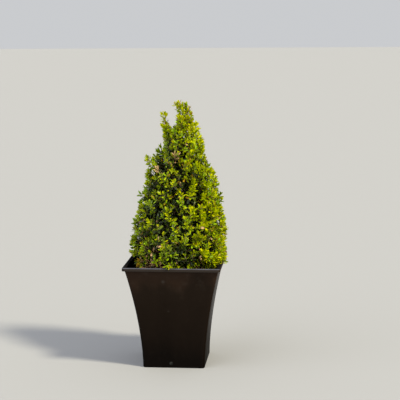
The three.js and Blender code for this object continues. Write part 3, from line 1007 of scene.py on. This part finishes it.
def leaf_mesh(name, rows, template, material):
    """All leaves of one tone as one joined mesh, each thin and sharp round its rim."""
    flat, is_lower, triangles, rim_count = template
    rows = np.array(rows, float)
    place, along, across, upper = (rows[:, None, 3 * i : 3 * i + 3] for i in range(4))
    length, width, fold, curl = (rows[:, None, 12 + i] for i in range(4))
    x, y = flat[None, :, 0], flat[None, :, 1]
    rise = fold * np.abs(x) * width / 2 - curl * y * y * length - is_lower * LEAF.thickness
    corners = (
        place
        + along * (y * length)[..., None]
        + across * (x * width / 2)[..., None]
        + upper * rise[..., None]
    )
    offsets = np.arange(len(rows))[:, None, None] * len(flat)
    faces = (triangles[None] + offsets).reshape(-1, 3)
    leaves = mesh_piece(name, corners.reshape(-1, 3), faces, material)
    ends = np.empty(2 * len(leaves.data.edges), np.int32)
    leaves.data.edges.foreach_get("vertices", ends)
    on_rim = (ends.reshape(-1, 2) % len(flat) < rim_count).all(axis=1)
    leaves.data.edges.foreach_set("use_edge_sharp", on_rim)
    return leaves


# Planter


def square_ring(half_width, radius, z, steps=8, along=6):
    """A square ring with round corners, its straight sides divided as well."""
    ring = []
    middle = half_width - radius
    for corner in range(4):
        turn = Matrix.Rotation(corner * math.pi / 2, 2)
        for step in range(steps + 1):
            angle = step / steps * math.pi / 2
            x, y = (middle + radius * side(angle) for side in (math.cos, math.sin))
            ring.append(turn @ Vector((x, y)))
        for step in range(1, along):
            ring.append(turn @ Vector((lerp(middle, -middle, step / along), half_width)))
    return [(p.x, p.y, z) for p in ring]


def flare_rings(low, high, inset, levels=28):
    rings = []
    for level in range(levels + 1):
        z = lerp(low, high, level / levels)
        rings.append(square_ring(planter_half_width(z) - inset, PLANTER.corner - inset, z))
    return rings


def rounded(centre_half, centre_z, radius, corner_radius, start, end, steps=4):
    """Rings round an edge, from one angle to another, seen in the wall's section."""
    rings = []
    for step in range(steps + 1):
        angle = lerp(start, end, step / steps)
        reach = radius * math.cos(angle)
        half = centre_half + reach
        rings.append(square_ring(half, corner_radius + reach, centre_z + radius * math.sin(angle)))
    return rings


def make_planter(material):
    p = PLANTER
    height, lip, bevel, wall_width = p.height, p.lip_height, p.foot_bevel, p.wall
    rim, mouth, corner, lip_corner = p.rim / 2, p.mouth / 2, p.corner, p.lip_corner
    edge, bead, hollow = EDGES.lip_round, EDGES.bead, EDGES.lip_wall
    foot, under_lip = planter_half_width(bevel), height - p.lip_thickness
    inner, inner_corner = mouth - wall_width + edge, corner - wall_width + edge
    quarter = math.pi / 2
    rings = [
        square_ring(foot - bevel - EDGES.underside, corner - bevel, 0.0),
        *rounded(foot - bevel, bevel, bevel, corner - bevel, -quarter, 0),
        *flare_rings(bevel + 1, height - lip - 1, 0),
        square_ring(mouth, corner, under_lip),
        square_ring(rim - hollow, lip_corner - hollow, under_lip),
        square_ring(rim - hollow, lip_corner - hollow, height - lip + bead),
        *rounded(rim - bead, height - lip + bead, bead, lip_corner - bead, -quarter, 0, 3),
        *rounded(rim - edge, height - edge, edge, lip_corner - edge, 0, quarter, 5),
        *rounded(inner, height - edge, edge, inner_corner, quarter, 2 * quarter, 5),
        *reversed(flare_rings(p.floor, height - lip, wall_width)),
    ]
    planter = mesh_piece("planter_shell", *loft(rings), material)
    cut_drain_holes(planter)
    sharpen(planter, 50)
    return planter


def cut_drain_holes(planter):
    holes = Shapes()
    reach = DRAIN_HOLES.spacing / 2
    for x in (-reach, reach):
        for y in (-reach, reach):
            path = [(x, y, -5), (x, y, PLANTER.floor + 6)]
            holes.add(*tube(path, [DRAIN_HOLES.radius] * 2, DRAIN_HOLES.sides))
    cutter = holes.piece("drain_cutter", planter.data.materials[0])
    cut = planter.modifiers.new("drain_holes", "BOOLEAN")
    cut.operation = "DIFFERENCE"
    cut.solver = "EXACT"
    cut.object = cutter
    result = bpy.data.meshes.new_from_object(planter.evaluated_get(bpy.context.evaluated_depsgraph_get()))
    planter.modifiers.clear()
    planter.data = result
    bpy.data.objects.remove(cutter)


def make_boss(material):
    """The small round knock-out low on the front, with a raised rim round its sunk middle."""
    face = -planter_half_width(DRAIN_BOSS.z)
    radius, proud = DRAIN_BOSS.radius, DRAIN_BOSS.proud
    profile = [(radius, 1.2), (radius, 0.35 - proud), (radius - 0.5, -proud), (radius - 1.3, -proud)]
    profile += [(radius - 1.7, 0.35 - proud), (0.6, 0.2 - proud)]
    rings = []
    for reach, depth in profile:
        places = [(DRAIN_BOSS.x + reach * cos, DRAIN_BOSS.z + reach * sin) for cos, sin in around(32)]
        rings.append([(x, face + depth, z) for x, z in places])
    boss = mesh_piece("drain_boss", *loft(rings), material)
    sharpen(boss, 40)
    return boss


# Compost


def compost_height(x, y):
    """The crumbled top of the compost, level at the trunk."""
    wave = noise.noise(Vector((x, y, 0)) * 0.035) * 2.2 + noise.noise(Vector((x, y, 7)) * 0.16) * 1.3
    level = smoothstep(math.hypot(x, y), COMPOST.flat_radius * 0.7, COMPOST.flat_radius)
    return COMPOST.top - level * min(max(1.6 - wave, 0), COMPOST.bump)


def make_compost(material):
    inset = PLANTER.wall + CLEARANCE
    rings = flare_rings(PLANTER.floor + CLEARANCE, COMPOST.top - 2, inset, 8)
    edge = rings[-1]
    for step in range(1, 44):
        share = 1 - step / 44
        rings.append([(x * share, y * share, compost_height(x * share, y * share)) for x, y, _ in edge])
    return mesh_piece("compost_bed", *loft(rings), material)


def scatter(draw, count, reach):
    """Places on the compost, with a random heading for each."""
    places = []
    while len(places) < count:
        x, y = (2 * draw() - 1) * reach, (2 * draw() - 1) * reach
        if math.hypot(x, y) > TRUNK.foot_radius + 4:
            places.append((x, y, draw() * 2 * math.pi))
    return places


def make_chips(name, material, seed, count, lengths):
    """Flakes of bark lying on the compost, each a six-sided slab with torn ends."""
    draw = seeded(seed)
    chips = Shapes()
    reach = planter_half_width(COMPOST.top) - PLANTER.wall - lengths[1] / 2 - 1
    for x, y, heading in scatter(draw, count, reach):
        length, width = between(lengths, draw), between(lengths, draw) * 0.45
        thick = between((0.7, 1.8), draw)
        tilt = Matrix.Rotation((2 * draw() - 1) * 0.35, 3, "X") @ Matrix.Rotation(heading, 3, "Z")
        outline = [(-0.5, -0.2), (-0.25, -0.5), (0.4, -0.45), (0.5, 0.1), (0.2, 0.5), (-0.4, 0.35)]
        outline = [(u + 0.12 * (draw() - 0.5), v + 0.2 * (draw() - 0.5)) for u, v in outline]
        ground = compost_height(x, y) + 0.4
        rings = []
        for level, shrink in ((0, 0.9), (0.35, 1.0), (0.8, 0.96), (1, 0.8)):
            ring = []
            for u, v in outline:
                spot = tilt @ Vector((u * length * shrink, v * width * shrink, level * thick))
                ring.append((x + spot.x, y + spot.y, ground + spot.z))
            rings.append(ring)
        chips.add(*loft(rings))
    return chips.piece(name, material, smooth=False)


def fallen_leaves(growth):
    """Old leaves lying on the compost."""
    draw = growth.draw
    reach = planter_half_width(COMPOST.top) - PLANTER.wall - 9
    tones = FALLEN_LEAVES.tones.split()
    for x, y, heading in scatter(draw, FALLEN_LEAVES.count, reach):
        along = Vector((math.cos(heading), math.sin(heading), 0.3 * (draw() - 0.3))).normalized()
        across = along.cross(UP + growth.spread_out(0.5)).normalized()
        tone = tones[int(draw() * len(tones))]
        place = Vector((x, y, compost_height(x, y) + 1.6))
        growth.leaf(place, along, across, between(FALLEN_LEAVES.size, draw), tone)


# Trunk and boughs


def make_trunk(material):
    """The short stem: lobed root flare, taper and bark ridges."""
    foot = COMPOST.top + CLEARANCE
    rings = []
    levels, sides = 26, 44
    for level in range(levels + 1):
        z = lerp(foot, TRUNK.top, level / levels)
        low = max(1 - (z - foot) / TRUNK.flare_height, 0)
        flare = (TRUNK.foot_radius - TRUNK.radius) * low * low
        taper = TRUNK.taper * (1 - (z - foot) / (TRUNK.top - foot))
        centre = axis_at(z)
        ring = []
        for k in range(sides):
            angle = 2 * math.pi * k / sides
            lobe = 1 + TRUNK.depth * low * math.cos(TRUNK.roots * angle)
            spot = Vector((math.cos(angle) * 2.4, math.sin(angle) * 2.4, z * 0.07))
            ridge = 1 - 0.09 * abs(noise.noise(spot * 2.2))
            radius = (TRUNK.radius + taper + flare) * lobe * ridge
            ring.append((centre.x + radius * math.cos(angle), centre.y + radius * math.sin(angle), z))
        rings.append(ring)
    return mesh_piece("trunk_bark", *loft(rings), material)


def make_boughs(shoots, material):
    """The stem inside the foliage and a bough from it to the foot of each main shoot."""
    boughs = Shapes()
    heights = np.linspace(TRUNK.top + CLEARANCE, CORE_TOP, 40)
    radii = np.interp(heights, [heights[0], heights[-1]], [6.8, 2.4])
    boughs.add(*tube([axis_at(z) for z in heights], radii, 12))
    for group in (LEADER, HIGH_SHOOT):
        top = place_of(*group.start)
        boughs.add(*tube(bend(axis_at(top.z - 40), axis_at(top.z - 15), top, 6), [2.4] * 7, 7))
    for shoot in shoots:
        foot = shoot.start
        drop = (foot - axis_at(foot.z)).length * 0.8 + 14
        root = axis_at(max(foot.z - drop, TRUNK.top + 8))
        middle = root.lerp(foot, 0.5) - UP * 4
        boughs.add(*tube(bend(root, middle, foot, 6), np.linspace(2.6, 1.5, 7), 6))
    return boughs.piece("boughs", material)


# Scene

CAMERA = Values(
    azimuth=6.71, distance=3.180, height=0.905, yaw_pitch_roll=(-5.56, 8.56, -0.45),
    focal_pixels=1238, frame_pixels=400, sensor=36,
)
# Azimuth 0 is the camera's side and 90 the right, in degrees, as are the height and the spread.
SUNS = named(
    "name azimuth height spread strength colour",
    ("key", 62, 46, 9, 3.5, (1.0, 0.92, 0.70)),
    ("fill", -50, 40, 60, 0.9, (0.95, 0.97, 1.0)),
)
SKY = dict(Color=(0.95, 0.97, 1.0, 1), Strength=0.62)
FLOOR = Values(half=30000, colour=(0.42, 0.425, 0.44, 1))
MASSES = ("foliage_cone", "foliage_leader", "foliage_high_shoot")


def make_camera():
    data = bpy.data.cameras.new("camera")
    data.sensor_width = CAMERA.sensor
    data.sensor_fit = "HORIZONTAL"
    data.lens = CAMERA.focal_pixels / CAMERA.frame_pixels * CAMERA.sensor
    azimuth, yaw, pitch, roll = (math.radians(a) for a in (CAMERA.azimuth, *CAMERA.yaw_pitch_roll))
    turn = Matrix.Rotation(-yaw, 4, "Z") @ Matrix.Rotation(math.pi / 2 - pitch, 4, "X")
    place = (CAMERA.distance * math.sin(azimuth), -CAMERA.distance * math.cos(azimuth), CAMERA.height)
    camera = put("camera", data)
    camera.matrix_world = Matrix.Translation(place) @ turn @ Matrix.Rotation(roll, 4, "Z")
    bpy.context.scene.camera = camera


def make_sun(sun):
    data = bpy.data.lights.new(sun.name, "SUN")
    data.angle = math.radians(sun.spread)
    data.energy = sun.strength
    data.color = sun.colour
    put(sun.name, data).rotation_euler = (math.radians(90 - sun.height), 0, math.radians(sun.azimuth))


def make_stage():
    skin = Skin("pale_floor", Base_Color=FLOOR.colour, Roughness=0.9, Specular_IOR_Level=0.1)
    half = FLOOR.half
    corners = [(-half, -half, 0), (half, -half, 0), (half, half, 0), (-half, half, 0)]
    floor = mesh_piece("floor", corners, [(0, 1, 2), (0, 2, 3)], skin.material, smooth=False)
    world = bpy.data.worlds.new("studio")
    world.use_nodes = True
    for name, value in SKY.items():
        world.node_tree.nodes["Background"].inputs[name].default_value = value
    bpy.context.scene.world = world
    for sun in SUNS:
        make_sun(sun)
    bpy.context.scene.view_settings.view_transform = "Standard"


def dress(piece, slot, *nodes):
    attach(piece, "root")
    if nodes:
        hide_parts(*nodes)


def make_pot():
    """The planter, its boss, the compost and the bark on it."""
    dress(make_planter(planter_material("planter_plastic")), "planter_plastic", "planter")
    dress(make_boss(boss_material("boss_plastic")), "planter_plastic")
    peat = compost_material("compost", (0.04, 0.022, 0.012), (0.008, 0.005, 0.003))
    dress(make_compost(peat), "compost", "compost")
    dark = bark_material("chip_dark", (0.11, 0.055, 0.03), (0.03, 0.016, 0.01))
    dress(make_chips("bark_chips_dark", dark, SEEDS.dark_chips, 420, (5, 14)), "compost")
    pale = bark_material("chip_pale", (0.30, 0.17, 0.10), (0.12, 0.06, 0.035))
    dress(make_chips("bark_chips_pale", pale, SEEDS.pale_chips, 160, (4, 11)), "compost")


def grow(shoots):
    """All twigs and leaves, group by group."""
    growth = Growth(SEEDS.cone)
    grow_main_sprigs(growth, shoots)
    grow_layers(growth, shoots)
    for group in (LEADER, HIGH_SHOOT):
        growth.draw = seeded(group.seed)
        grow_group(growth, group)
    growth.draw = seeded(SEEDS.low_growth)
    grow_skirt(growth, shoots)
    grow_dead_twigs(growth)
    grow_strays(growth)
    fallen_leaves(growth)
    return growth


def make_plant():
    """The trunk, the boughs, and the twigs and leaves joined by their kind."""
    bark = bark_material("bark", (0.19, 0.13, 0.08), (0.05, 0.032, 0.02))
    dress(make_trunk(bark), "bark", "trunk")
    shoots = main_shoots()
    growth = grow(shoots)
    dress(make_boughs(shoots, bark), "bark", "foliage_cone")
    twig_bark = bark_material("twig_bark", (0.30, 0.165, 0.085), (0.10, 0.050, 0.026), 2.0)
    dress(growth.twigs.piece("twigs", twig_bark), "bark", *MASSES)
    template = leaf_template()
    for tone, (colour, shine) in TONES.items():
        material = leaf_material("leaf_" + tone, colour, shine)
        dress(leaf_mesh("leaves_" + tone, growth.leaves[tone], template, material), "foliage", *MASSES)
    # Leaves deep inside take a darker copy of the dark tone: painted shade
    shade = leaf_material("leaf_shade", shaded(TONES["dark"][0], 0.8), glow=0)
    litter = leaf_material("leaf_litter", (0.14, 0.075, 0.035), 0.1, glow=0)
    for name, material in (("shade", shade), ("litter", litter)):
        inner = leaf_mesh("leaves_" + name, growth.inner_leaves[name], simple_leaf_template(), material)
        dress(inner, "foliage", "foliage_cone")


make_camera()
make_stage()
make_pot()
make_plant()
